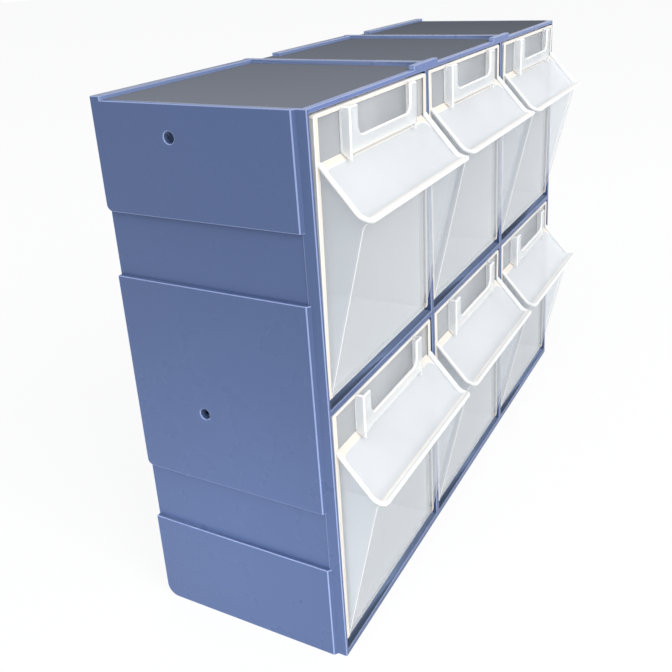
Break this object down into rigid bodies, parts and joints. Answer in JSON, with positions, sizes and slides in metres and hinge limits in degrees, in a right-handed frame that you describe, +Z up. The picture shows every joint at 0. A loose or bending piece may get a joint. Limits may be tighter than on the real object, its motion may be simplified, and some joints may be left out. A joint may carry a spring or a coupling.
{
  "type": "tilt-out bin unit",
  "caption": "Open-fronted storage housing with rows of translucent bins that tilt out on pins low down behind their lipped fronts.",
  "frame": {"origin": "middle of the housing's underside", "axes": "+X along the front to the right as seen from the front, +Y from the front to the back, +Z up"},
  "size_m": [0.3212, 0.1228, 0.248],
  "materials": {
    "housing_plastic": "smooth glossy moulded plastic, blue",
    "top_panel_plastic": "glossy dark grey plastic",
    "bin_plastic": "translucent frosted plastic, whiter at its edges"
  },
  "bodies": {
    "housing": {"side_left": "housing_plastic", "side_right": "housing_plastic", "base": "housing_plastic", "divider_1": "housing_plastic", "divider_2": "housing_plastic", "shelf_1": "housing_plastic", "shelf_2": "housing_plastic", "shelf_3": "housing_plastic", "roof": "housing_plastic", "back_panel": "housing_plastic", "top_panel_1": "top_panel_plastic", "top_panel_2": "top_panel_plastic", "top_panel_3": "top_panel_plastic"},
    "bin_1": {"bin_1_tub": "bin_plastic", "bin_1_front": "bin_plastic", "bin_1_label_holder": "bin_plastic"},
    "bin_2": {"bin_2_tub": "bin_plastic", "bin_2_front": "bin_plastic", "bin_2_label_holder": "bin_plastic"},
    "bin_3": {"bin_3_tub": "bin_plastic", "bin_3_front": "bin_plastic", "bin_3_label_holder": "bin_plastic"},
    "bin_4": {"bin_4_tub": "bin_plastic", "bin_4_front": "bin_plastic", "bin_4_label_holder": "bin_plastic"},
    "bin_5": {"bin_5_tub": "bin_plastic", "bin_5_front": "bin_plastic", "bin_5_label_holder": "bin_plastic"},
    "bin_6": {"bin_6_tub": "bin_plastic", "bin_6_front": "bin_plastic", "bin_6_label_holder": "bin_plastic"}
  },
  "joints": [
    {"name": "bin_1_tilt", "type": "hinge", "parent": "housing", "child": "bin_1", "pos_m": [-0.106, -0.0425, 0.1345], "axis": [1, 0, 0], "range_deg": [0, 40]},
    {"name": "bin_2_tilt", "type": "hinge", "parent": "housing", "child": "bin_2", "pos_m": [0, -0.0425, 0.1345], "axis": [1, 0, 0], "range_deg": [0, 40]},
    {"name": "bin_3_tilt", "type": "hinge", "parent": "housing", "child": "bin_3", "pos_m": [0.106, -0.0425, 0.1345], "axis": [1, 0, 0], "range_deg": [0, 40]},
    {"name": "bin_4_tilt", "type": "hinge", "parent": "housing", "child": "bin_4", "pos_m": [-0.106, -0.0425, 0.0125], "axis": [1, 0, 0], "range_deg": [0, 40]},
    {"name": "bin_5_tilt", "type": "hinge", "parent": "housing", "child": "bin_5", "pos_m": [0, -0.0425, 0.0125], "axis": [1, 0, 0], "range_deg": [0, 40]},
    {"name": "bin_6_tilt", "type": "hinge", "parent": "housing", "child": "bin_6", "pos_m": [0.106, -0.0425, 0.0125], "axis": [1, 0, 0], "range_deg": [0, 40]}
  ]
}
